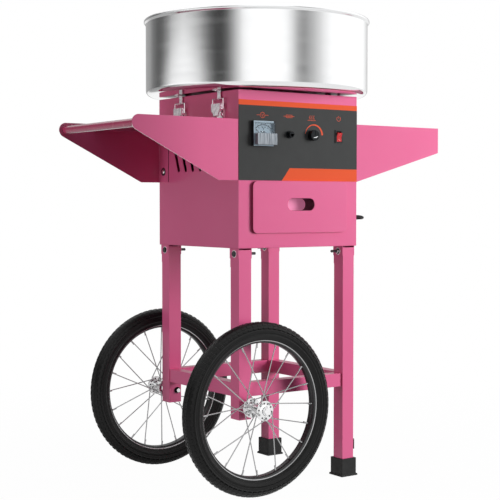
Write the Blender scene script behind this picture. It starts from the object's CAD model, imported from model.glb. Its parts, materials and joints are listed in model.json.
import json
import bmesh
import bpy
from math import atan2, cos, exp, hypot, pi, radians, sin
from mathutils import Euler, Matrix, Vector


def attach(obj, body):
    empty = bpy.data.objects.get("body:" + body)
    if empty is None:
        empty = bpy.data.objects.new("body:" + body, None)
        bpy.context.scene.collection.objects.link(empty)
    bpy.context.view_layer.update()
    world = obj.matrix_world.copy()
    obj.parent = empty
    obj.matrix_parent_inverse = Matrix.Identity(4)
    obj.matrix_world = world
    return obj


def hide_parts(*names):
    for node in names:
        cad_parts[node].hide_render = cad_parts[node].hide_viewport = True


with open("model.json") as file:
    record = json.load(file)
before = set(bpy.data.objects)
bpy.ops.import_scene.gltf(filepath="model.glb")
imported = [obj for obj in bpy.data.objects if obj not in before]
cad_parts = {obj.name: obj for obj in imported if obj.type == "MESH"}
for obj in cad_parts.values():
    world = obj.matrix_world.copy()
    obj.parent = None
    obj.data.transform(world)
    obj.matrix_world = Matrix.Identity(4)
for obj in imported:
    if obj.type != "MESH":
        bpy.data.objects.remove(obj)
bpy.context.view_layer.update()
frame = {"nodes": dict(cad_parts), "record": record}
scene = bpy.context.scene
scene.view_settings.view_transform = "Standard"
root = "stand_and_cabinet"
print("frame loaded:", len(frame["nodes"]), "nodes")

# camera, fitted to the photograph's own angle
camera = dict(place=(-1.6273, -2.2888, 0.6245), heading=35.1, down=2.16, focal=86.9, sensor=36, reach=60)

def addObject(name, data):
    obj = bpy.data.objects.new(name, data)
    scene.collection.objects.link(obj)
    return obj

def addCamera(s):
    data = bpy.data.cameras.new("camera")
    data.lens = s["focal"]
    data.sensor_width = s["sensor"]
    data.clip_end = s["reach"]
    obj = addObject("camera", data)
    obj.location = s["place"]
    obj.rotation_euler = (radians(90 - s["down"]), 0, radians(-s["heading"]))
    scene.camera = obj

addCamera(camera)

# what several pieces share
shift = Matrix.Translation
wheelPlace = dict(x=-0.139, z=0.187, y=0.201)
corners = [(side, end) for side in (-1, 1) for end in (-1, 1)]
bodyOf = {n: b for b, members in frame["record"]["behaviour"]["bodies"].items() for n in members}


def meshObject(name, verts, faces):
    mesh = bpy.data.meshes.new(name)
    mesh.from_pydata([tuple(v) for v in verts], [], faces)
    mesh.update()
    return addObject(name, mesh)

def shadeByAngle(obj, degrees=35):
    mesh = obj.data
    mesh.shade_smooth()
    mesh.set_sharp_from_angle(angle=radians(degrees))

def dress(obj, material, body=root, replaces=()):
    obj.data.materials.clear()
    obj.data.materials.append(material)
    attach(obj, body)
    if replaces:
        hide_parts(*replaces)
    return obj


# materials
def linear(v):
    return v / 12.92 if v <= 0.04045 else ((v + 0.055) / 1.055) ** 2.4

def srgb(r, g, b):   # 0 to 255, as a screen shows it
    return tuple(linear(v / 255) for v in (r, g, b)) + (1,)

def shaderOf(mat):
    return mat.node_tree.nodes["Principled BSDF"]

def newMaterial(name, colour, **sockets):
    mat = bpy.data.materials.new(name)
    mat.use_nodes = True
    for key, value in {"Base Color": colour, **sockets}.items():
        shaderOf(mat).inputs[key].default_value = value
    return mat

def node(mat, kind, **values):
    made = mat.node_tree.nodes.new("ShaderNode" + kind)
    for key, value in values.items():
        setattr(made, key, value)
    return made

def link(mat, out, into):   # a world can stand in for the material here, in node and in calc
    mat.node_tree.links.new(out, into)

def feed(mat, socket, value):
    link(mat, value, shaderOf(mat).inputs[socket])

def tintOf(mat):   # what colours the material so far
    return shaderOf(mat).inputs["Base Color"].links[0].from_socket

def place(mat, scale=(1, 1, 1)):   # the object's own coordinates, in metres
    coords = node(mat, "TexCoord")
    mapping = node(mat, "Mapping")
    mapping.inputs["Scale"].default_value = scale
    link(mat, coords.outputs["Object"], mapping.inputs["Vector"])
    return mapping.outputs["Vector"]

def noise(mat, vector, scale, detail=3, rough=0.5):
    made = node(mat, "TexNoise")
    made.inputs["Scale"].default_value = scale
    made.inputs["Detail"].default_value = detail
    made.inputs["Roughness"].default_value = rough
    link(mat, vector, made.inputs["Vector"])
    return made.outputs["Fac"]

def stretch(mat, value, fromLow, fromHigh, toLow, toHigh):
    made = node(mat, "MapRange")
    for key, v in (("From Min", fromLow), ("From Max", fromHigh), ("To Min", toLow), ("To Max", toHigh)):
        made.inputs[key].default_value = v
    link(mat, value, made.inputs["Value"])
    return made.outputs["Result"]

def blendColours(mat, factor, first, second):
    made = node(mat, "Mix", data_type="RGBA")
    link(mat, factor, made.inputs[0])
    for socket, value in ((made.inputs[6], first), (made.inputs[7], second)):
        if isinstance(value, tuple):
            socket.default_value = value
        else:
            link(mat, value, socket)
    return made.outputs[2]

def calc(mat, operation, *values):
    made = node(mat, "Math", operation=operation)
    for socket, value in zip(made.inputs, values):
        if isinstance(value, (int, float)):
            socket.default_value = value
        else:
            link(mat, value, socket)
    return made.outputs[0]

def product(mat, first, *others):
    for other in others:
        first = calc(mat, "MULTIPLY", first, other)
    return first

def below(mat, value, limit):
    return calc(mat, "LESS_THAN", value, limit)

def above(mat, value, limit):
    return calc(mat, "GREATER_THAN", value, limit)

def farOut(mat, u, v):   # distance from the axis where u and v are 0
    return calc(mat, "SQRT", calc(mat, "ADD", product(mat, u, u), product(mat, v, v)))

def axesOf(mat):
    split = node(mat, "SeparateXYZ")
    link(mat, place(mat), split.inputs[0])
    return split.outputs

def bumpFrom(mat, heights):   # heights: (socket, distance in metres, strength) stacked on one another
    last = None
    for height, distance, strength in heights:
        made = node(mat, "Bump")
        made.inputs["Distance"].default_value = distance
        made.inputs["Strength"].default_value = strength
        link(mat, height, made.inputs["Height"])
        if last:
            link(mat, last, made.inputs["Normal"])
        last = made.outputs["Normal"]
    feed(mat, "Normal", last)

noiseSpan = (0.3, 0.7)   # the values that a noise mostly takes

# clouds and grain: a noise's (scale, detail); bumps: (scale, detail, distance in metres, strength)
def grained(name, base, colours, clouds, grain, rough, bumps, **sockets):
    mat = newMaterial(name, base, **sockets)
    here = place(mat)
    if colours:
        feed(mat, "Base Color", blendColours(mat, noise(mat, here, *clouds), *colours))
    feed(mat, "Roughness", stretch(mat, noise(mat, here, *grain), *noiseSpan, *rough))
    bumpFrom(mat, [(noise(mat, here, *bump[:2]), *bump[2:]) for bump in bumps])
    return mat

def mottled(name, tone, lift, clouds, grain, rough, bump, **sockets):   # with patches that are paler by lift
    paler = srgb(*(min(255, t + lift) for t in tone))
    return grained(name, srgb(*tone), (srgb(*tone), paler), clouds, grain, rough, [bump], **sockets)

pinkPaint = dict(colour=srgb(232, 104, 153), deep=srgb(226, 95, 145), gloss=(0.3, 0.38), coat=0.25,
                 coatRough=0.12, clouds=(5, 2), grain=(45, 3),
                 peel=((900, 2, 0.00012, 0.22), (9, 1, 0.002, 0.02)))

def paintedPink(name="pinkPaint", **more):
    s = {**pinkPaint, **more}
    sockets = {"Coat Weight": s["coat"], "Coat Roughness": s["coatRough"], "IOR": 1.5}
    colours = s["deep"], s["colour"]
    return grained(name, s["colour"], colours, s["clouds"], s["grain"], s["gloss"], s["peel"], **sockets)

trayShade = dict(end=(-0.43, -0.25), least=0.66, inside=0.36, deep=srgb(40, 4, 14), skirt=0.1622,
                 flange=-0.1672, deck=0.7942)

def trayPaint():   # deeper towards the handle and inside the tray's skirts
    s = trayShade
    mat = paintedPink("trayPaint")
    x, y, z = axesOf(mat)
    between = below(mat, calc(mat, "ABSOLUTE", y), s["skirt"])
    inside = product(mat, between, below(mat, x, s["flange"]), below(mat, z, s["deck"]))
    towardsEnd = stretch(mat, x, *s["end"], s["least"], 1.0)
    level = product(mat, towardsEnd, stretch(mat, inside, 0, 1, 1.0, s["inside"]))
    feed(mat, "Base Color", blendColours(mat, level, s["deep"], tintOf(mat)))
    return mat

panelPrint = dict(grey=srgb(58, 59, 59), mottle=(srgb(54, 55, 55), srgb(62, 63, 63)),
                  orange=srgb(233, 92, 54), topBand=0.8378, lowBand=0.7042, foot=0.6765, slant=0.78,
                  start=-0.0497)

def printedPanel():
    s = panelPrint
    mat = newMaterial("printedPanel", s["grey"], **{"Roughness": 0.46, "Specular IOR Level": 0.3})
    x, y, z = axesOf(mat)
    edge = calc(mat, "ADD", product(mat, calc(mat, "SUBTRACT", z, s["foot"]), s["slant"]), s["start"])
    low = product(mat, below(mat, z, s["lowBand"]), above(mat, x, edge))
    orange = calc(mat, "MAXIMUM", above(mat, z, s["topBand"]), low)
    here = place(mat)
    grey = blendColours(mat, noise(mat, here, 30, 3), *s["mottle"])
    feed(mat, "Base Color", blendColours(mat, orange, grey, s["orange"]))
    bumpFrom(mat, [(noise(mat, here, 1700, 2), 0.00006, 0.25)])
    return mat

def orangeInk():
    mat = newMaterial("orangeInk", srgb(228, 88, 52), Roughness=0.45)
    bumpFrom(mat, [(noise(mat, place(mat), 1700, 2), 0.00004, 0.2)])
    return mat

bowlFinish = dict(tint=(0.8, 0.805, 0.81, 1), roughness=(0.13, 0.21), flat=0.875, rise=0.008, least=0.35,
                  lines=(6, 6, 2600), broad=(3, 3, 60))

def spunSteel(name="spunSteel", rough=bowlFinish["roughness"], tint=bowlFinish["tint"]):
    s = bowlFinish
    mat = newMaterial(name, tint, Metallic=1.0)
    fine = noise(mat, place(mat, s["lines"]), 1, 3, 0.6)       # fine lines that run round the bowl
    broad = noise(mat, place(mat, s["broad"]), 1, 2)
    x, y, z = axesOf(mat)
    level = stretch(mat, z, s["flat"], s["flat"] + s["rise"], s["least"], 1.0)      # the floor is smoother
    feed(mat, "Roughness", product(mat, stretch(mat, broad, *noiseSpan, *rough), level))
    bumpFrom(mat, [(product(mat, fine, level), 0.00003, 0.35)])
    return mat

def brightZinc(name="brightZinc", tint=(0.96, 0.95, 0.95, 1), rough=(0.16, 0.24), dents=0.0):
    dull = (tint[0] * 0.94, tint[1] * 0.94, tint[2] * 0.95, 1)
    bumps = [(500, 2, 0.00003, 0.1)]
    if dents:                                     # pressed sheet that isn't quite flat
        bumps.append((90, 1, dents, 0.9))
    return grained(name, tint, (dull, tint), (120, 3), (260, 4), rough, bumps, Metallic=1.0)

def chromePlate(name, tone, rough):
    bump = (400, 2, 0.00003, 0.2)
    return grained(name, (tone, tone, tone * 1.01, 1), None, None, (60, 3), rough, [bump], Metallic=1.0)

def blackRubber(name, tone, grain, rough):
    bump = (grain, 3, 0.0001, 0.3)
    return mottled(name, tone, 14, (70, 4), (110, 3), rough, bump, **{"Specular IOR Level": 0.22})

def mouldedPlastic(name, tone, rough=(0.35, 0.5), grain=1500, **more):
    return mottled(name, tone, 6, (60, 3), (150, 3), rough, (grain, 2, 0.00005, 0.3), **more)

axleShade = dict(legs=0.1285, shank=0.0047, black=(0.012, 0.012, 0.014, 1))

def axleZinc():   # bright bolts whose nuts inside the legs are black
    s = axleShade
    mat = brightZinc("axleZinc")
    x, y, z = axesOf(mat)
    off = farOut(mat, calc(mat, "SUBTRACT", x, wheelPlace["x"]), calc(mat, "SUBTRACT", z, wheelPlace["z"]))
    nut = product(mat, below(mat, calc(mat, "ABSOLUTE", y), s["legs"]), above(mat, off, s["shank"]))
    feed(mat, "Base Color", blendColours(mat, nut, tintOf(mat), s["black"]))
    return mat

meterShade = dict(black=(14, 16, 20), card=srgb(168, 186, 198), front=-0.1735, right=-0.0785)

def meterPlastic():   # black sides, with the pale card showing to the edge of the front
    s = meterShade
    mat = mouldedPlastic("meterPlastic", s["black"])
    x, y, z = axesOf(mat)
    front = product(mat, below(mat, y, s["front"]), below(mat, x, s["right"]))
    feed(mat, "Base Color", blendColours(mat, front, tintOf(mat), s["card"]))
    return mat

meterWindow = dict(split=0.7775, ribs=(420, 420, 26), contrast=(0.36, 0.62), rough=(0.22, 0.08),
                   veil=(0.72, 0.12), clear=srgb(170, 190, 205),
                   worn=(srgb(120, 128, 136), srgb(198, 206, 214)))

def clearAndFrosted():   # ribs run down the frosted lower half
    s = meterWindow
    mat = newMaterial("clearAndFrosted", (0.5, 0.6, 0.68, 1), IOR=1.46)
    x, y, z = axesOf(mat)
    frosted = below(mat, z, s["split"])
    feed(mat, "Roughness", calc(mat, "MULTIPLY_ADD", frosted, *s["rough"]))
    feed(mat, "Alpha", calc(mat, "MULTIPLY_ADD", frosted, *s["veil"]))
    streaks = stretch(mat, noise(mat, place(mat, s["ribs"]), 1, 2, 0.6), *s["contrast"], 0, 1)
    worn = blendColours(mat, streaks, *s["worn"])
    feed(mat, "Base Color", blendColours(mat, frosted, s["clear"], worn))
    pits = noise(mat, place(mat), 600, 3)
    bumpFrom(mat, [(product(mat, streaks, frosted), 0.0004, 0.5), (pits, 0.0002, 0.15)])
    return mat

pink = paintedPink()
pinkTray = trayPaint()
pinkBar = paintedPink("barPaint", colour=srgb(198, 60, 108), deep=srgb(190, 52, 100), coat=1.0,
                      gloss=(0.2, 0.28))
panelFace = printedPanel()
ink = orangeInk()
bowlSteel = spunSteel()
innerSteel = spunSteel("rolledSteel", (0.25, 0.36), (0.62, 0.62, 0.63, 1))
zinc = brightZinc()
latchZinc = brightZinc("latchZinc", (1.0, 0.91, 0.95, 1), (0.14, 0.22), 0.00022)
hubAlloy = brightZinc("hubAlloy", (0.88, 0.88, 0.88, 1), (0.16, 0.3))
chrome = chromePlate("chromePlate", 0.4, (0.16, 0.28))
rimChrome = chromePlate("rimChrome", 0.42, (0.14, 0.26))
rimInside = chromePlate("rimInside", 0.05, (0.25, 0.4))
tyreRubber = blackRubber("tyreRubber", (8, 8, 8), 1500, (0.3, 0.42))
footRubber = blackRubber("footRubber", (38, 38, 38), 1000, (0.55, 0.7))
cordRubber = blackRubber("cordRubber", (24, 24, 25), 1400, (0.45, 0.6))
darkSteel = brightZinc("darkSteel", (0.09, 0.09, 0.095, 1), (0.35, 0.5))
casePlastic = mouldedPlastic("casePlastic", (16, 17, 19))
glossBlack = mouldedPlastic("glossBlack", (3, 9, 14), (0.26, 0.36), 900, **{"Specular IOR Level": 0.28})
dialCard = mouldedPlastic("dialCard", (176, 194, 206), (0.5, 0.6), 1200)
dialInk = mouldedPlastic("dialInk", (24, 28, 34), (0.5, 0.6), 1200)
needleRed = mouldedPlastic("needleRed", (70, 16, 16), (0.4, 0.5), 900)
windowClear = clearAndFrosted()
meterCase = meterPlastic()
axleSteel = axleZinc()
edgeGlint = chromePlate("edgeGlint", 0.97, (0.2, 0.3))
cupFloor = mouldedPlastic("cupFloor", (250, 150, 188), (0.4, 0.5), 300,
                          **{"Emission Color": (0.85, 0.24, 0.45, 1), "Emission Strength": 0.3})
cupWall = mouldedPlastic("cupWall", (66, 12, 28), (0.4, 0.5), 300)
sideShade = mouldedPlastic("sideShade", (128, 24, 62), (0.4, 0.5), 300)
seamShade = mouldedPlastic("seamShade", (52, 8, 22), (0.5, 0.6), 300)
rockerRed = mouldedPlastic("rockerRed", (200, 8, 18), (0.16, 0.26), 700,
                           **{"Subsurface Weight": 0.1, "Coat Weight": 0.2})
rockerMark = mouldedPlastic("rockerMark", (248, 150, 140), (0.3, 0.4), 900)
knobMark = mouldedPlastic("knobMark", (235, 238, 240), (0.4, 0.5), 900)
enamel = mouldedPlastic("motorEnamel", (58, 60, 64), (0.3, 0.45), 700)
print("materials ready")


# the lead comes first: its route repeats the frame's, with these points in millimetres
lead = dict(diameter=0.0056, sides=20, step=0.0028, least=0.0008, route=[
    (192, -128, 597), (198, -128, 597), (206, -127.6, 596.4), (214, -125, 595.2),
    (221, -119.5, 593.8), (225.5, -111.5, 592.6), (225.8, -102.8, 592), (221.5, -95.2, 591.6),
    (214.8, -90, 589.5), (209.6, -87.2, 583), (207.6, -86.2, 573), (207, -86, 560),
    (207, -86, 543), (207, -86, 520),
    (207, -86, 490), (207, -86, 440), (207, -86, 390), (207, -86, 340), (207, -86, 290),
    (207, -86, 240), (207, -86, 190), (207, -86, 140), (207, -86, 90), (207, -86, 50),
    (207.2, -85.8, 27), (209.1, -83.5, 14.8), (214.7, -76.8, 6), (222.5, -67.8, 2.8),
    (230.5, -61.4, 2.8), (240, -56.3, 2.8), (244.2, -53.6, 2.8), (248, -50, 2.8)])
hank = dict(turn=51, run=0.112, step=0.0072, fold=0.0168, waist=0.008, lift=0.0012, tail=0.026, layer=1.09,
            pinch=0.085, taper=0.014, runSteps=40, foldSteps=24)

def catmull(a, b, c, d, t):
    bend = (2 * a - 5 * b + 4 * c - d) * t * t
    return 0.5 * (2 * b + (c - a) * t + bend + (3 * b - a - 3 * c + d) * t ** 3)

def leadPath(s, h):
    route = [Vector(p) / 1000 for p in s["route"]]
    points = []
    last = len(route) - 1
    for i in range(last):
        a, b, c, d = route[max(i - 1, 0)], route[i], route[i + 1], route[min(i + 2, last)]
        count = max(2, round((c - b).length / s["step"] / 2))
        points += [catmull(a, b, c, d, k / count) for k in range(count)]
    points += [route[-1] + q for q in hankPath(s, h)]
    return points

def hankPath(s, h):   # five runs and four folds in two layers, drawn in at the tie
    r = s["diameter"] / 2
    outer = h["fold"] + h["step"] / 2
    across = [0, 2 * outer, h["step"], 2 * outer, 0]
    entry = s["diameter"]
    tieX = entry + h["run"] / 2
    middle = outer + h["step"] / 4
    layer = s["diameter"] * h["layer"]
    def height(q):
        return r + layer * (0 if q < 2 else 1 if q > 3 else (1 - cos(pi * (q - 2))) / 2)
    def waist(x):
        return exp(-(max(0, abs(x - tieX) - h["pinch"] * h["run"]) / h["taper"]) ** 2)
    made = [Vector((0, 0, r))]
    for i in range(5):
        steps = h["runSteps"]
        for k in range(steps + (1 if i == 4 else 0)):
            f = k / steps
            x = entry + h["run"] * (f if i % 2 == 0 else 1 - f)
            y = across[i]
            pull = h["waist"] * waist(x) * (1 if middle > y else -1)
            made.append(Vector((x, y + pull, height(i + f) + h["lift"] * waist(x))))
        if i < 4:
            bend = abs(across[i + 1] - across[i]) / 2
            centre = (across[i + 1] + across[i]) / 2
            way = 1 if across[i + 1] > across[i] else -1
            out = 1 if i % 2 == 0 else -1
            x0 = entry + (h["run"] if i % 2 == 0 else 0)
            for k in range(h["foldSteps"]):
                a = pi * k / h["foldSteps"]
                x, y = x0 + out * bend * sin(a), centre - way * bend * cos(a)
                made.append(Vector((x, y, height(i + 1))))
    made.append(Vector((entry + h["run"] + h["tail"], 0, r + layer)))
    turn = Matrix.Rotation(radians(h["turn"]), 3, "Z")
    return [turn @ (p - Vector((0, 0, r))) for p in made]

def tube(name, points, s):   # points closer together than least are dropped
    radius, sides = s["diameter"] / 2, s["sides"]
    clean = [points[0]]
    for p in points[1:]:
        if (p - clean[-1]).length > s["least"]:
            clean.append(p)
    n = len(clean)
    verts, faces = [], []
    side = Vector((0, 0, 1))
    for i, p in enumerate(clean):
        ahead = (clean[min(i + 1, n - 1)] - clean[max(i - 1, 0)]).normalized()
        side = (side - ahead * side.dot(ahead)).normalized()
        other = ahead.cross(side)
        for k in range(sides):
            a = 2 * pi * k / sides
            verts.append(p + radius * (cos(a) * side + sin(a) * other))
    for i in range(n - 1):
        for k in range(sides):
            j = (k + 1) % sides
            faces.append((i * sides + k, i * sides + j, (i + 1) * sides + j, (i + 1) * sides + k))
    faces.append(tuple(range(sides))[::-1])
    faces.append(tuple((n - 1) * sides + k for k in range(sides)))
    obj = meshObject(name, verts, faces)
    shadeByAngle(obj)
    return obj, clean

leadTube, leadLine = tube("leadCord", leadPath(lead, hank), lead)
dress(leadTube, cordRubber, root, ("cord_run", "cord_hank"))


# shaping helpers
def revolve(name, profile, segments, closed=True):   # profile of (radius, height) round Z
    verts, faces = [], []
    n = len(profile)
    for k in range(segments):
        a = 2 * pi * k / segments
        verts += [(r * cos(a), r * sin(a), z) for r, z in profile]
    for k in range(segments):
        j = (k + 1) % segments
        for i in range(n if closed else n - 1):
            m = (i + 1) % n
            faces.append((k * n + i, j * n + i, j * n + m, k * n + m))
    obj = meshObject(name, verts, faces)
    tidy = bmesh.new()
    tidy.from_mesh(obj.data)
    bmesh.ops.remove_doubles(tidy, verts=tidy.verts, dist=1e-6)
    bmesh.ops.recalc_face_normals(tidy, faces=tidy.faces)
    tidy.to_mesh(obj.data)
    tidy.free()
    shadeByAngle(obj)
    return obj

def arcPoints(cx, cz, r, start, end, count):
    angles = [radians(start + (end - start) * i / count) for i in range(count + 1)]
    return [(cx + r * cos(a), cz + r * sin(a)) for a in angles]

def plainCopy(obj):   # the mesh that its modifiers make
    graph = bpy.context.evaluated_depsgraph_get()
    graph.update()
    return bpy.data.meshes.new_from_object(obj.evaluated_get(graph))

def bakeModifiers(obj):
    mesh = plainCopy(obj)
    obj.modifiers.clear()
    old = obj.data
    obj.data = mesh
    bpy.data.meshes.remove(old)

def addBevel(obj, width, segments, angle):
    bevel = obj.modifiers.new("eased", "BEVEL")
    bevel.width = width
    bevel.segments = segments
    bevel.limit_method = "ANGLE"
    bevel.angle_limit = radians(angle)

easing = dict(weld=2e-6, flat=0.6, smooth=32, sharp=40, block=30)   # metres, then degrees

def softened(cadNode, name, width, segments=2):   # a copy of a CAD solid with its edges eased
    s = easing
    mesh = frame["nodes"][cadNode].data.copy()
    mesh.name = name
    work = bmesh.new()
    work.from_mesh(mesh)
    bmesh.ops.remove_doubles(work, verts=work.verts, dist=s["weld"])
    bmesh.ops.dissolve_limit(work, angle_limit=radians(s["flat"]), verts=work.verts, edges=work.edges)
    work.to_mesh(mesh)
    work.free()
    obj = addObject(name, mesh)
    for layer in list(mesh.attributes):
        if layer.name in ("custom_normal", "sharp_face", "sharp_edge"):
            mesh.attributes.remove(layer)
    shadeByAngle(obj, s["smooth"])
    if width:
        addBevel(obj, width, segments, s["sharp"])
    steady = obj.modifiers.new("steady", "WEIGHTED_NORMAL")   # keeps the large flat faces flat
    steady.keep_sharp = True
    bakeModifiers(obj)
    return obj

def dressCad(cadNode, material, width, segments=2, word="eased"):   # an eased solid stands in for its node
    solid = softened(cadNode, cadNode + "_" + word, width, segments)
    return dress(solid, material, bodyOf[cadNode], (cadNode,))

def repaint(obj, materials, choose):   # choose gives each face's material from its middle and its normal
    for material in materials:
        obj.data.materials.append(material)
    for face in obj.data.polygons:
        face.material_index = int(choose(face.center, face.normal))

# one Geometry Nodes tree repeats a small piece: each copy is turned and shifted once more than the last
def repeatTree():
    tree = bpy.data.node_groups.new("repeatPiece", "GeometryNodeTree")
    face = tree.interface
    face.new_socket("Geometry", in_out="OUTPUT", socket_type="NodeSocketGeometry")
    for label, kind in (("Geometry", "Geometry"), ("Piece", "Object"), ("Count", "Int"),
                        ("First Turn", "Float"), ("Turn Each", "Float"), ("Shift Each", "Vector"),
                        ("Finish", "Material")):
        face.new_socket(label, in_out="INPUT", socket_type="NodeSocket" + kind)
    entry, leave, turn, spin, line, index, info, copies, real, finish = [tree.nodes.new(kind) for kind in (
        "NodeGroupInput", "NodeGroupOutput", "ShaderNodeMath", "ShaderNodeCombineXYZ", "GeometryNodeMeshLine",
        "GeometryNodeInputIndex", "GeometryNodeObjectInfo", "GeometryNodeInstanceOnPoints",
        "GeometryNodeRealizeInstances", "GeometryNodeSetMaterial")]
    turn.operation = "MULTIPLY_ADD"
    for one, out, other, into in (
            (entry, "Count", line, "Count"), (entry, "Shift Each", line, "Offset"),
            (entry, "Piece", info, "Object"), (index, 0, turn, 0), (entry, "Turn Each", turn, 1),
            (entry, "First Turn", turn, 2), (turn, 0, spin, "Z"), (spin, 0, copies, "Rotation"),
            (line, "Mesh", copies, "Points"), (info, "Geometry", copies, "Instance"),
            (copies, "Instances", real, "Geometry"), (real, "Geometry", finish, "Geometry"),
            (entry, "Finish", finish, "Material"), (finish, "Geometry", leave, "Geometry")):
        tree.links.new(one.outputs[out], other.inputs[into])
    return tree

repeater = repeatTree()

def put(obj, matrix):
    obj.data.transform(matrix)
    if matrix.to_3x3().determinant() < 0:
        obj.data.flip_normals()
    return obj

def repeated(name, piece, count, material, where, turnEach=0, firstTurn=0, shiftEach=(0, 0, 0)):
    holder = addObject(name, bpy.data.meshes.new(name))
    made = holder.modifiers.new("repeat", "NODES")
    made.node_group = repeater
    values = {"Piece": piece, "Count": count, "First Turn": radians(firstTurn),
              "Turn Each": radians(turnEach), "Shift Each": shiftEach, "Finish": material}
    for item in repeater.interface.items_tree:
        if item.in_out == "INPUT" and item.name in values:
            made[item.identifier] = values[item.name]
    bakeModifiers(holder)
    put(holder, where)
    bpy.data.objects.remove(piece)
    shadeByAngle(holder)
    return holder

def joined(name, objects):
    bpy.ops.object.select_all(action="DESELECT")
    for obj in objects:
        obj.select_set(True)
    bpy.context.view_layer.objects.active = objects[0]
    bpy.ops.object.join()
    objects[0].name = name
    return objects[0]

def blockPiece(name, low, high, width=0.0):
    (x0, y0, z0), (x1, y1, z1) = low, high
    verts = [(x, y, z) for x in (x0, x1) for y in (y0, y1) for z in (z0, z1)]
    faces = [(0, 1, 3, 2), (4, 6, 7, 5), (0, 4, 5, 1), (2, 3, 7, 6), (0, 2, 6, 4), (1, 5, 7, 3)]
    obj = meshObject(name, verts, faces)
    if width:
        addBevel(obj, width, 2, easing["block"])
        bakeModifiers(obj)
        shadeByAngle(obj)
    return obj

# the instruments' axes point out of the front, and the back wheel's out of the back, with side 1
def frontFrame(x, y, z, side=-1):   # its local Z points out, its local Y up
    return Matrix(((1, 0, 0, x), (0, 0, side, y), (0, 1, 0, z), (0, 0, 0, 1)))


# bowl
bowl = dict(wall=0.2555, bottom=0.873, height=0.173, sheet=0.0012, corner=0.012, bead=0.0045, hole=0.04,
            collar=0.012, bend=0.003, edge=0.0015, segments=240)

def makeBowl(s):
    b, t, r, bend = s["bottom"], s["sheet"], s["wall"], s["bend"]
    mid, top = r - s["corner"], b + s["height"] - s["bead"]
    ring, edge = s["hole"] + bend, s["edge"]      # narrow rings beside each bend keep the flat metal flat
    low, high = b + s["corner"] + edge, top - s["bead"] - edge
    floor = [ring + edge, mid * 0.5, mid - edge]
    levels = [low, (low * 2 + high) / 3, (low + high * 2) / 3, high]
    outer = [(s["hole"], b + s["collar"]), (s["hole"], b + bend)]
    outer += arcPoints(ring, b + bend, bend, 180, 270, 4) + [(q, b) for q in floor]
    outer += arcPoints(mid, b + s["corner"], s["corner"], -90, 0, 12) + [(r, z) for z in levels]
    bead = arcPoints(r, top, s["bead"], -75, 255, 22)
    inner = [(r - t, z) for z in levels[::-1]]
    inner += arcPoints(mid, b + s["corner"], s["corner"] - t, 0, -90, 12)
    inner += [(q, b + t) for q in floor[::-1]] + arcPoints(ring + t, b + bend + t, bend, 270, 180, 4)
    inner += [(s["hole"] + t, b + s["collar"])]
    return revolve("bowl_steel", outer + bead + inner, s["segments"])

dress(makeBowl(bowl), bowlSteel, root, ("bowl",))
dressCad("bowl_pads", footRubber, 0.0008, word="soft")
print("bowl made")


# sheet metal and stand
sheetNodes = {"cabinet_shell": 0.0006, "cabinet_top": 0.0006, "cabinet_base": 0.0006, "cabinet_back": 0.0005,
              "handle_tray": 0.0005, "plain_tray": 0.0005, "drawer_front": 0.0013, "leg_brackets": 0.0005,
              "long_legs": 0.0004, "short_legs": 0.0004, "rails": 0.0004, "handle_bar": 0.0}
glint = dict(side=0.1625, deck=0.79, down=-0.3, across=0.75)

def glintEdges(middle, normal):   # the thin lower edges of the trays' side plates
    low = abs(middle.y) > glint["side"] and middle.z < glint["deck"]
    return low and normal.z < glint["down"] and abs(normal.y) < glint["across"]

cup = dict(height=0.6245, run=0.0235, radius=0.014, reach=0.0372, front=-0.169, back=-0.14, facing=-0.9,
           level=0.5, edge=-0.11, left=-0.3, upright=0.3)

def paintCup(middle, normal):   # the finger cup's pale floor and dark wall, and the drawer's shaded left edge
    s = cup
    x, y, z = middle
    off = hypot(max(0, abs(x) - s["run"]), z - s["height"])
    if y > s["front"] and off < s["radius"] and abs(x) < s["reach"]:
        if normal.y < s["facing"] and y > s["back"]:
            return 1
        return 2 if abs(normal.y) < s["level"] else 0
    return 3 if normal.x < s["left"] and x < s["edge"] and abs(normal.y) < s["upright"] else 0

for cadNode, width in sheetNodes.items():
    sheet = dressCad(cadNode, {"handle_tray": pinkTray, "handle_bar": pinkBar}.get(cadNode, pink), width)
    if cadNode.endswith("tray"):
        repaint(sheet, [edgeGlint], glintEdges)
    if cadNode == "drawer_front":
        repaint(sheet, [cupFloor, cupWall, sideShade], paintCup)

seam = dict(x=0.16425, y=0.1224, low=0.6775, high=0.8055, thick=0.0003, wide=0.0006)

def makeSeams(s):   # dark gaps beside the trays' fixing flanges
    parts = []
    for side, end in corners:
        x, y = side * s["x"], end * s["y"]
        low = (x - s["thick"], y - s["wide"], s["low"])
        high = (x + s["thick"], y + s["wide"], s["high"])
        parts.append(blockPiece("seam", low, high))
    dress(joined("flange_seams", parts), seamShade)

makeSeams(seam)
screen = dict(low=(-0.11, 0.1619, 0.692), high=(0.11, 0.1625, 0.858))      # behind the back's vents
screenCloth = mouldedPlastic("screenCloth", (16, 15, 16), (0.7, 0.85), 2400)
dress(blockPiece("vent_screen", screen["low"], screen["high"]), screenCloth)
dressCad("control_panel", panelFace, 0.0003)
for cadNode in ("drawer_box", "drawer_slides", "spinner_pan", "spinner_cap", "heater_ring", "spindle"):
    dressCad(cadNode, innerSteel, 0.0003)
dressCad("feet", footRubber, 0.0014, 3)
dressCad("motor", enamel, 0.001)
dressCad("motor_bracket", zinc, 0.0004)
print("cabinet and stand made")


# fasteners
metals = {"leg_bolts": darkSteel, "body_screws": zinc, "axles": axleSteel, "heat_control": zinc}
for cadNode, metal in metals.items():
    dressCad(cadNode, metal, 0.0003)
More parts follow.
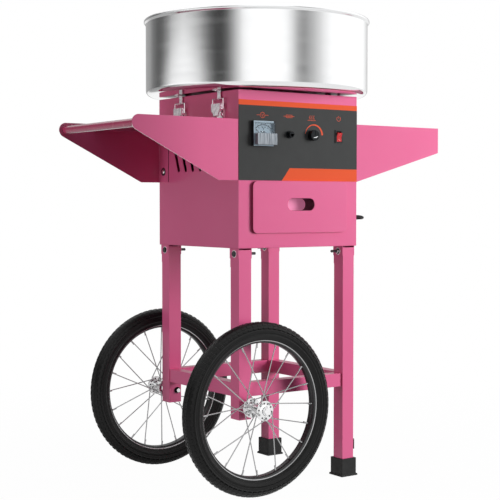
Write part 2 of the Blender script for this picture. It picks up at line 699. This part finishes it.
# rings: radius, thickness, and how far their middle stands off the leg
legBolts = dict(leg=0.144, height=0.518, side=0.0175, bore=0.0029, washer=(0.0082, 0.0008, 0.0004),
                lock=(0.0066, 0.0006, 0.0011), inside=0.13, shank=0.0033, tip=0.1215, tipShank=0.0031)
trayScrews = dict(x=0.1657, y=0.1435, heights=(0.701, 0.782), bore=0.002, radius=0.0096, thick=0.0006)

def ringAt(name, inner, outer, thick, x, y, z, sides=28, eased=0.0002):   # a flat ring with its axis along X
    half = thick / 2
    profile = [(inner, -half), (outer - eased, -half), (outer, -half + eased), (outer, half - eased),
               (outer - eased, half), (inner, half)]
    where = shift((x, y, z)) @ Matrix.Rotation(radians(90), 4, "Y")
    return put(revolve(name, profile, sides), where)

def makeWashers(s, t):
    for word, name, material in (("washer", "bolt_washers", zinc), ("lock", "bolt_lock_rings", glossBlack)):
        radius, thick, off = s[word]
        rings = []
        for side, end in corners:
            for way in (1, -1):
                x = side * (s["leg"] + way * s["side"] + way * off)
                rings.append(ringAt(word, s["bore"], radius, thick, x, end * s["leg"], s["height"]))
        dress(joined(name, rings), material)
    rings = [ringAt("cup", t["bore"], t["radius"], t["thick"], side * t["x"], end * t["y"], z)
             for side, end in corners for z in t["heights"]]
    dress(joined("tray_screw_rings", rings), darkSteel)

def silverNuts(middle, normal):   # the nuts on the right legs are bright
    s = legBolts
    x, y, z = middle
    off = hypot(abs(y) - s["leg"], z - s["height"])
    return 0 < x < s["inside"] and (off > s["shank"] or (x > s["tip"] and off > s["tipShank"]))

makeWashers(legBolts, trayScrews)
repaint(bpy.data.objects["leg_bolts_eased"], [zinc], silverNuts)
for k in "1234":
    dressCad("latch_lever_" + k, latchZinc, 0.0002)
    dressCad("latch_bail_" + k, latchZinc, 0)
for cadNode in ("latch_bases", "latch_keepers"):
    dressCad(cadNode, latchZinc, 0.0002)
print("fasteners made")


# wheels
tyre = dict(radius=0.187, core=0.166, tall=0.0214, half=0.0185, groove=0.0007, lap=0.1492, turn=118,
            steps=56, least=0.1575, lapHalf=0.0136, bed=0.151, bedHalf=0.0128,
            bead=((0.1562, 0.0158), (0.1535, 0.0146), (0.1505, 0.0143)), segments=252, ridgeFrom=0.014,
            ridgeWide=0.001,
            ridges=((0.16, 0.0012), (0.164, -0.0014), (0.1712, 0.0012), (0.174, -0.001)))
# rows: degrees down from the crown, width, rise, skew, and where the row starts, in steps
tread = dict(blocks=84, long=0.0098, sunk=-0.0006, shrink=0.84,
             rows=((0, 0.005, 0.0006, 0, 0.5), (20, 0.0054, 0.0006, 0.0012, 0), (42, 0.006, 0.0008, 0, 0.5),
                   (62, 0.0044, 0.0006, 0, 0.5)))

def tyreProfile(s):   # one half from the crown to the lap over the rim, mirrored
    crown = s["radius"] - s["groove"]
    angles = [radians(s["turn"] * i / s["steps"]) for i in range(s["steps"] + 1)]
    half = [(min(crown, s["core"] + s["tall"] * cos(t)), s["half"] * sin(t)) for t in angles]
    half = [(r, y) for r, y in half if r > s["least"]] + list(s["bead"]) + [(s["lap"], s["lapHalf"])]
    ridged = []
    for r, y in half:                  # moulded lines round the sidewall
        lines = sum(lift * exp(-((r - ridge) / s["ridgeWide"]) ** 2) for ridge, lift in s["ridges"])
        ridged.append((r, y + (lines if y > s["ridgeFrom"] else 0)))
    lap, bed, w = s["lap"], s["bed"], s["bedHalf"]
    return ridged + [(lap, w), (bed, w), (bed, -w), (lap, -w)] + [(r, -y) for r, y in reversed(ridged)]

def treadBlock(s, t, degrees, width, rise, skew):   # stands on the carcass
    a = radians(degrees)
    r = min(s["radius"] - s["groove"], s["core"] + s["tall"] * cos(a))
    out = Vector((cos(a), 0, sin(a)))
    side = Vector((-sin(a), 0, cos(a)))
    verts = []
    for lift, shrink in ((t["sunk"], 1.0), (rise, t["shrink"])):
        for u, v in ((-1, -1), (1, -1), (1, 1), (-1, 1)):
            spot = Vector((r, 0, s["half"] * sin(a))) + out * lift + side * (v * width / 2 * shrink)
            verts.append((spot.x, u * t["long"] / 2 * shrink + skew * v, spot.z))
    faces = [(0, 3, 2, 1), (4, 5, 6, 7), (0, 1, 5, 4), (1, 2, 6, 5), (2, 3, 7, 6), (3, 0, 4, 7)]
    return meshObject("block", verts, faces)

def makeTyre(where, word, body):
    parts = [put(revolve("carcass", tyreProfile(tyre), tyre["segments"]), where)]
    step = 360 / tread["blocks"]
    for degrees, width, rise, skew, start in tread["rows"]:
        for sign in ((1,) if degrees == 0 else (1, -1)):
            block = treadBlock(tyre, tread, sign * degrees, width, rise, sign * skew)
            parts.append(repeated("row", block, tread["blocks"], tyreRubber, where, step, start * step))
    whole = joined("tyre_" + word + "_tread", parts)
    shadeByAngle(whole, easing["smooth"])
    dress(whole, tyreRubber, body, ("tyre_" + word,))

# well: offsets from the inner radius, and half widths
rim = dict(inner=0.143, seat=0.1505, lip=0.1508, half=0.0126, roll=0.0008, dark=0.0042,
           well=((-0.0006, 0), (-0.0004, 0.0035), (0, 0.0065), (0.001, 0.0088), (0.0024, 0.0104)),
           segments=252, wall=((0.0046, 0.001), (0.006, 0.0001)))

def darkInside(middle, normal):   # the side that faces the hub
    x, z = middle.x - wheelPlace["x"], middle.z - wheelPlace["z"]
    return hypot(x, z) < rim["inner"] + rim["dark"] and normal.x * x + normal.z * z < 0

def makeRim(where, word, body):
    s = rim
    inner, h, roll = s["inner"], s["half"], s["roll"]
    half = [(inner + r, y) for r, y in s["well"]] + [(inner + r, h - y) for r, y in s["wall"]]
    half += [(s["lip"] - roll, h), (s["lip"], h - roll), (s["seat"], h - 2 * roll)]
    profile = half + [(r, -y) for r, y in reversed(half[1:])]
    hoop = put(revolve("rim_" + word + "_rolled", profile, s["segments"]), where)
    repaint(dress(hoop, rimChrome, body, ("rim_" + word,)), [rimInside], darkInside)

nipple = dict(profile=((0, 0), (0.0021, 0), (0.0021, 0.004), (0.0017, 0.0046), (0.0017, 0.012), (0, 0.0125)),
              sides=12, reach=0.1436, off=0.003, lean=8, count=10)

def makeNipples(where, word, body):
    s, made = nipple, []
    step = 360 / s["count"]
    for flange in (1, -1):
        piece = revolve("nipple", s["profile"], s["sides"], False)
        lean = Euler((0, radians(-90 + flange * s["lean"]), 0)).to_matrix().to_4x4()
        piece.data.transform(shift((s["reach"], 0, flange * s["off"])) @ lean)
        start = 0 if flange == 1 else step / 2
        made.append(repeated("nipples", piece, s["count"], chrome, where, step, start))
    dress(joined("spoke_nipples_" + word, made), chrome, body)

spokeHole = dict(radius=0.0021, deep=0.00012, ring=0.0163, flange=0.0245, half=0.0015, sides=14, first=27)

def makeHubDetail(where, word, body):   # dark spoke holes on both sides of both flanges
    s, holes = spokeHole, []
    r, deep = s["radius"], s["deep"]
    for flange in (1, -1):
        for out in (1, -1):
            face = flange * s["flange"] + out * s["half"]
            piece = revolve("hole", [(0, 0), (r, 0), (r, deep), (0, deep)], s["sides"], False)
            piece.data.transform(shift((s["ring"], 0, face - (deep if out < 0 else 0))))
            step = 360 / nipple["count"]
            holes.append(repeated("holes", piece, nipple["count"], darkSteel, where, step, s["first"]))
    dress(joined("hub_" + word + "_holes", holes), darkSteel, body)

for side, word in ((-1, "front"), (1, "back")):
    where = frontFrame(wheelPlace["x"], side * wheelPlace["y"], wheelPlace["z"], side)
    for make in (makeTyre, makeRim, makeNipples, makeHubDetail):
        make(where, word, word + "_wheel")
    dressCad("hub_" + word, hubAlloy, 0.0005, word="turned")
    dressCad("spokes_" + word, chrome, 0, word="drawn")
print("wheels made")


# instruments on the panel
panel = dict(front=-0.165, height=0.7775, meter=-0.1015, fuse=-0.03, knob=0.033, switch=0.11, icons=0.8175,
             iconSize=1.3, sweep=(0.039, 0.024))

def flatShape(name, loops, thick, matrix):   # closed outlines in the panel's plane, given a small thickness
    verts, faces = [], []
    for loop in loops:
        base = len(verts)
        n = len(loop)
        verts += [(u, v, 0) for u, v in loop] + [(u, v, thick) for u, v in loop]
        faces.append(tuple(base + i for i in range(n))[::-1])
        faces.append(tuple(base + n + i for i in range(n)))
        faces += [(base + i, base + (i + 1) % n, base + n + (i + 1) % n, base + n + i) for i in range(n)]
    return put(meshObject(name, verts, faces), matrix)

def band(points, width, ends=None):   # an outline round an open line of points
    left, right = [], []
    n = len(points)
    for i, p in enumerate(points):
        a, b = points[max(i - 1, 0)], points[min(i + 1, n - 1)]
        dx, dy = b[0] - a[0], b[1] - a[1]
        size = hypot(dx, dy)
        w = (ends[0] + (ends[1] - ends[0]) * i / (n - 1) if ends else width) / 2
        left.append((p[0] - dy / size * w, p[1] + dx / size * w))
        right.append((p[0] + dy / size * w, p[1] - dx / size * w))
    return right + left[::-1]

def ringLoops(cx, cy, r, width, start, end, count=28):
    return [band(arcPoints(cx, cy, r, start, end, count), width)]

icons = dict(line=0.00065, bold=1.1, lift=0.00002, thick=0.00012, unit=0.0001, sweepTurn=(172, 4),
             sweepWide=(0.0008, 0.0046))

def makeIcons(s):   # a meter, a fuse, rising heat and power, drawn in tenths of a millimetre
    unit, fine = s["unit"], s["line"]
    bold = fine * s["bold"]
    def stroke(*points, width=fine):
        return band([(u * unit, v * unit) for u, v in points], width)
    meter = ringLoops(0, 0, 46 * unit, fine, 90, 449.9, 40)
    meter += [stroke((-21, 22), (0, -24)), stroke((0, -24), (21, 22))]
    meter += [stroke((-118, 0), (-48, 0)), stroke((48, 0), (118, 0))]
    fuse = [stroke((-62, v), (62, v)) for v in (22, -22)] + [stroke((u, -24), (u, 24)) for u in (-62, 62)]
    fuse.append(stroke((-112, 0), (112, 0)))
    heat = []
    for middle in (-42, 0, 42):
        heat.append(stroke(*((middle + 9 * sin(i * 0.9), 7 * i - 36) for i in range(11)), width=bold))
    heat.append(stroke((-85, -50), (85, -50)))
    power = ringLoops(0, 0, 40 * unit, bold, 125, 415, 34) + [stroke((0, 8), (0, 52), width=bold)]
    front = panel["front"] - s["lift"]
    larger = Matrix.Diagonal((panel["iconSize"], panel["iconSize"], 1, 1))
    shapes = []
    for word, loops in (("meter", meter), ("fuse", fuse), ("knob", heat), ("switch", power)):
        where = frontFrame(panel[word], front, panel["icons"]) @ larger
        shapes.append(flatShape("icon", loops, s["thick"], where))
    centre, radius = panel["sweep"]
    sweep = band(arcPoints(0, 0, radius, *s["sweepTurn"], 60), 0, s["sweepWide"])
    shapes.append(flatShape("sweep", [sweep], s["thick"], frontFrame(centre, front, panel["height"])))
    dress(joined("panel_icons", shapes), ink)

makeIcons(icons)
for cadNode, mat, width in (("voltmeter_case", meterCase, 0.0006), ("voltmeter_dial", dialCard, 0.0),
                            ("voltmeter_cover", windowClear, 0.0005), ("fuse_holder", glossBlack, 0.0005),
                            ("fuse_cap", glossBlack, 0.0006), ("heat_knob", glossBlack, 0.0007),
                            ("switch_body", casePlastic, 0.0005), ("switch_rocker", rockerRed, 0.0004),
                            ("voltmeter_needle", needleRed, 0.0)):
    dressCad(cadNode, mat, width)

dial = dict(pivot=(-0.1015, 0.7665), face=-0.16782, radius=0.0296, line=0.0013, ticks=21, short=0.0018,
            long=0.0036, thick=0.0001, sweep=90, words=("250", "200", "150", "100", "50", "0"),
            wordSize=0.0042, drop=0.0012, lean=0.6, unitSize=0.01, unit=0.0185,
            wave=(0.015, 0.0135, 0.0022, 0.0018))   # the wave's length, place, height and line

def makeDial(s):
    here = frontFrame(s["pivot"][0], s["face"], s["pivot"][1])
    r, w, thick = s["radius"], s["line"] / 2, s["thick"]
    start = 90 - s["sweep"] / 2
    numbered = s["sweep"] / (len(s["words"]) - 1)
    tick = blockPiece("tick", (r, -w * 0.6, 0), (r + s["short"], w * 0.6, thick))
    long = blockPiece("tick", (r, -w, 0), (r + s["long"], w, thick))
    parts = [repeated("ticks", tick, s["ticks"], dialInk, here, s["sweep"] / (s["ticks"] - 1), start),
             repeated("longTicks", long, len(s["words"]), dialInk, here, numbered, start),
             flatShape("arc", ringLoops(0, 0, r, s["line"], start, start + s["sweep"], 30), thick, here)]
    inside = r - s["wordSize"]
    for i, word in enumerate(s["words"]):
        a = radians(start + numbered * i)
        spot = shift((inside * cos(a), inside * sin(a) - s["drop"], 0))
        lean = Matrix.Rotation((a - pi / 2) * s["lean"], 4, "Z")
        parts.append(textPiece(word, s["wordSize"], here @ spot @ lean))
    parts.append(textPiece("V", s["unitSize"], here @ shift((0, s["unit"], 0))))
    length, height, swing, line = s["wave"]
    wave = [(length * (i / 24 - 0.5), height + swing * sin(i / 24 * 4 * pi)) for i in range(25)]
    parts.append(flatShape("wave", [band(wave, line)], thick, here))
    dress(joined("dial_print", parts), dialInk)

def textPiece(word, size, matrix, half=0.00005):   # half: half its thickness
    curve = bpy.data.curves.new("words", "FONT")
    curve.body = word
    curve.size = size
    curve.align_x = "CENTER"
    curve.extrude = half
    holder = addObject("words", curve)
    mesh = plainCopy(holder)
    bpy.data.objects.remove(holder)
    mesh.transform(shift((0, 0, half)))
    return put(addObject("words", mesh), matrix)

makeDial(dial)

# ridges and ribs: low corner, high corner, eased edge, count, turn each, first turn
grips = dict(stand=0.0023, top=0.0114, line=0.0019, thick=0.0002,
             pointer=((-0.0045, -0.0052), (0.002, -0.0048), (0.0062, -0.002)),
             knob=((0.0111, -0.0006, 0.0008), (0.01195, 0.0006, 0.01), 0.0003, 24, 15, 7.5),
             fuse=((0.0061, -0.0004, 0.001), (0.0067, 0.0004, 0.0078), 0.0002, 18, 20, 0))

def makeKnobDetail(s):
    for word, name in (("knob", "knob_ridges"), ("fuse", "fuse_ribs")):
        low, high, eased, count, turn, first = s[word]
        where = frontFrame(panel[word], panel["front"] - s["stand"], panel["height"])
        piece = blockPiece(name + "_one", low, high, eased)
        dress(repeated(name, piece, count, glossBlack, where, turn, first), glossBlack, word)
        if word == "knob":
            top = where @ shift((0, 0, s["top"]))
            pointer = flatShape("knob_pointer", [band(s["pointer"], s["line"])], s["thick"], top)
            dress(pointer, knobMark, "knob")

makeKnobDetail(grips)

rocker = dict(deep=0.0035, tilt=10, slope=(0.002, 0.00995), out=-0.00715, up=0.0056, thick=0.00025,
              bar=0.0016, barLine=0.0007, ring=0.0015, ringLine=0.0006)

def makeRockerMarks(s):   # I above, O below, on the rocker's two faces
    tilt = shift((panel["switch"], panel["front"] + s["deep"], panel["height"]))
    tilt = tilt @ Matrix.Rotation(radians(s["tilt"]), 4, "X")
    lean = atan2(*s["slope"])
    bar = [band([(0, -s["bar"]), (0, s["bar"])], s["barLine"])]
    parts = []
    for sign, loops in ((1, bar), (-1, ringLoops(0, 0, s["ring"], s["ringLine"], 90, 449.9, 24))):
        face = shift((0, s["out"], sign * s["up"])) @ Matrix.Rotation(sign * lean, 4, "X")
        parts.append(flatShape("mark", loops, s["thick"], tilt @ face @ frontFrame(0, 0, 0)))
    dress(joined("rocker_marks", parts), rockerMark, "rocker")

makeRockerMarks(rocker)
print("instruments made")


# strain relief, tie and plug
relief = dict(radius=0.0049, thick=0.0006, place=(0.1715, -0.128, 0.597), rings=4, step=0.0036)

def makeRelief(s):
    ring = revolve("reliefRing", arcPoints(s["radius"], 0, s["thick"], 0, 360, 8)[:-1], 28)
    where = shift(s["place"]) @ Matrix.Rotation(radians(90), 4, "Y")
    ribs = repeated("relief_ribs", ring, s["rings"], cordRubber, where, shiftEach=(0, 0, s["step"]))
    dress(ribs, cordRubber)

dressCad("cord_gland", cordRubber, 0.0004)
makeRelief(relief)
dressCad("cord_tie", casePlastic, 0.0003)
dressCad("cord_plug", cordRubber, 0.0012, 3)
print("lead's fittings made")


# studio: the cards are the surround's brightness by compass angle, from +Y towards +X
studio = dict(fill=0.42, gloss=1.3, key=74, keyPlace=(1.8, -2.2, 0.95), keySize=1.3, rim=10,
              rimPlace=(-3.2, 1.4, 2.6), rimSize=1.6, side=13, sidePlace=(-2.1, 0.45, 0.42), sideSize=0.9,
              sideAim=(-0.16, 0, 0.45), wedge=(-65, 38, 0.09, 0.165), wedgeLeast=0.05, sky=0.42, skySlope=8,
              floorSize=14, floorHeight=-0.0004, floorTone=0.98, bounce=0.04, glow=0.98, fade=(0.45, 1.6),
              flag=(-78, -56, 0, 12, 0.15))
studio["cards"] = [(-180, 0.74), (-174, 1.0), (-139, 1.0), (-132, 0.92), (-126, 0.56), (-120, 0.28),
                   (-115, 0.1), (-109, 0.045), (-102, 0.05), (-96, 0.09), (-90, 0.17), (-83, 0.3),
                   (-74, 0.38), (-64, 0.38), (-56, 0.36), (-49, 0.33), (-42, 0.17), (-32, 0.09), (-24, 0.09),
                   (-14, 0.15), (0, 0.3), (24, 0.36), (50, 0.5), (80, 1.0), (134, 1.0), (142, 0.84),
                   (150, 0.62), (158, 0.42), (167, 0.25), (173, 0.35), (180, 0.74)]

def areaLamp(name, place, size, watts, aim=(0, 0, 0.6)):   # gloss shows the world's softboxes, not the lamps
    data = bpy.data.lights.new(name, "AREA")
    data.shape = "SQUARE"
    data.size = size
    data.energy = watts
    lamp = addObject(name, data)
    lamp.location = place
    lamp.rotation_euler = (Vector(aim) - Vector(place)).to_track_quat("-Z", "Y").to_euler()
    lamp.visible_glossy = False

def compassOf(mat, x, y):   # in degrees from +Y towards +X
    return calc(mat, "DEGREES", calc(mat, "ARCTAN2", x, y))

def makeWorld(s):   # a white surround for the camera, and softboxes and dark flags for light and gloss
    world = bpy.data.worlds.new("studio")
    scene.world = world
    world.use_nodes = True
    world.node_tree.nodes.clear()
    out, coords, split, ramp, path = [node(world, kind) for kind in (
        "OutputWorld", "TexCoord", "SeparateXYZ", "ValToRGB", "LightPath")]
    white, soft, cards = [node(world, "Background") for k in range(3)]
    first, second = node(world, "MixShader"), node(world, "MixShader")
    white.inputs["Color"].default_value = (1, 1, 1, 1)
    link(world, coords.outputs["Generated"], split.inputs[0])
    x, y, z = split.outputs
    compass = compassOf(world, x, y)
    link(world, product(world, calc(world, "ADD", compass, 180), 1 / 360), ramp.inputs["Fac"])
    ramp.color_ramp.interpolation = "EASE"
    for k, (degrees, tone) in enumerate(s["cards"]):
        where = (degrees + 180) / 360
        item = ramp.color_ramp.elements[k] if k < 2 else ramp.color_ramp.elements.new(where)
        item.position = where
        item.color = (tone, tone, tone, 1)
    centre, spread, low, high = s["wedge"]        # a leaning softbox, wide below and narrow above
    drop = calc(world, "DIVIDE", calc(world, "SUBTRACT", high, z), high - low)
    fall = calc(world, "MAXIMUM", calc(world, "MINIMUM", drop, 1), s["wedgeLeast"])
    away = calc(world, "ABSOLUTE", calc(world, "SUBTRACT", compass, centre))
    away = calc(world, "DIVIDE", away, product(world, fall, spread))
    glow = calc(world, "MAXIMUM", calc(world, "SUBTRACT", 1, product(world, away, away)), 0)
    sky = calc(world, "MAXIMUM", product(world, calc(world, "SUBTRACT", z, s["sky"]), s["skySlope"]), 0)
    lit = calc(world, "ADD", ramp.outputs["Color"], product(world, glow, fall))
    lit = calc(world, "ADD", lit, calc(world, "MINIMUM", sky, 1))
    link(world, calc(world, "MINIMUM", lit, 1), cards.inputs["Color"])
    link(world, ramp.outputs["Color"], soft.inputs["Color"])
    soft.inputs["Strength"].default_value = s["fill"]
    cards.inputs["Strength"].default_value = s["gloss"]
    glossy = path.outputs["Is Glossy Ray"]
    seen = calc(world, "MAXIMUM", path.outputs["Is Camera Ray"], path.outputs["Is Transmission Ray"])
    for factor, plain, other, mix in ((glossy, soft, cards, first), (seen, first, white, second)):
        for k, value in enumerate((factor, plain.outputs[0], other.outputs[0])):
            link(world, value, mix.inputs[k])
    link(world, second.outputs[0], out.inputs["Surface"])

def makeFloor(s):
    size, z = s["floorSize"], s["floorHeight"]
    spots = [(u * size, v * size, z) for u, v in ((-1, -1), (1, -1), (1, 1), (-1, 1))]
    floor = meshObject("floor", spots, [(0, 1, 2, 3)])
    mat = newMaterial("paleFloor", (1, 1, 1, 1), **{"Roughness": 0.8, "Specular IOR Level": 0.1})
    glow, mix = node(mat, "Emission"), node(mat, "MixShader")
    path = node(mat, "LightPath")
    seen = calc(mat, "MAXIMUM", path.outputs["Is Camera Ray"], path.outputs["Is Glossy Ray"])
    feed(mat, "Base Color", blendColours(mat, seen, (s["bounce"],) * 3 + (1,), (s["floorTone"],) * 3 + (1,)))
    x, y, z = axesOf(mat)
    fade = stretch(mat, farOut(mat, x, y), *s["fade"], s["glow"], 1.0)
    a, b, c, d, least = s["flag"]                # behind and left of the cart, gloss sees a dark floor
    compass = compassOf(mat, x, y)
    flag = product(mat, stretch(mat, compass, a, b, 0, 1), stretch(mat, compass, c, d, 1, 0))
    flag = product(mat, flag, path.outputs["Is Glossy Ray"])
    fade = product(mat, fade, stretch(mat, flag, 0, 1, 1, least), seen)
    for k, value in enumerate((fade, shaderOf(mat).outputs[0], glow.outputs[0])):
        link(mat, value, mix.inputs[k])
    link(mat, mix.outputs[0], mat.node_tree.nodes["Material Output"].inputs["Surface"])
    floor.data.materials.append(mat)

makeWorld(studio)
makeFloor(studio)
for word in ("key", "rim"):
    areaLamp(word + "Lamp", studio[word + "Place"], studio[word + "Size"], studio[word])
areaLamp("sideLamp", studio["sidePlace"], studio["sideSize"], studio["side"], studio["sideAim"])
print("studio lit")
